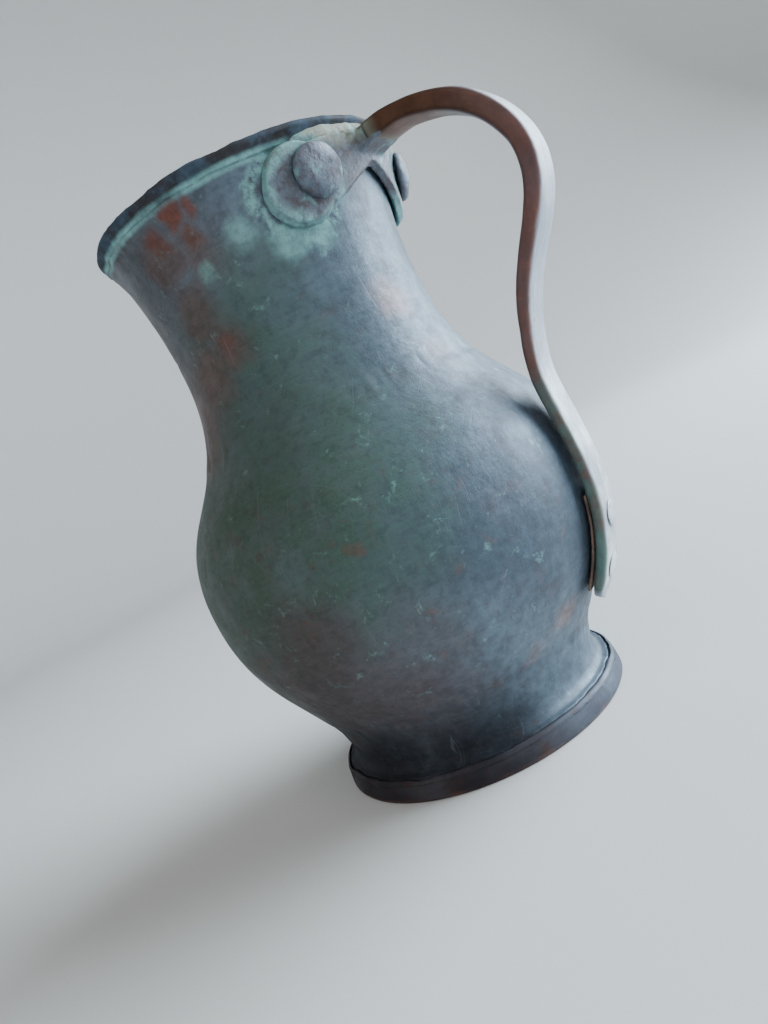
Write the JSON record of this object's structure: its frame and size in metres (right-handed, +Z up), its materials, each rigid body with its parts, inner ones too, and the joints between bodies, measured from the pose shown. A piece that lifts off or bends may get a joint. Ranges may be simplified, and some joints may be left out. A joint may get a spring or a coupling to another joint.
{
  "type": "water jug",
  "caption": "Hammered copper water jug with a flared mouth, full belly, folded foot and a riveted strap handle in an S, in blue-grey patina.",
  "frame": {"origin": "centre of the underside of the base, on the axis of the vessel", "axes": "+Z up along the axis of the vessel, +X toward the handle, +Y to its left"},
  "size_m": [0.2032, 0.1692, 0.238],
  "materials": {
    "vessel": "satin",
    "base": "satin",
    "bar": "satin",
    "bracket": "satin",
    "rivet": "satin",
    "pad": "satin"
  },
  "bodies": {
    "root": {"body": "vessel", "base_plate": "base", "handle": "bar", "handle_bracket": "bracket", "tail_pad": "pad", "bracket_rivet_left": "rivet", "bracket_rivet_right": "rivet", "tail_rivet_upper": "bar", "tail_rivet_lower": "bar"}
  },
  "joints": []
}
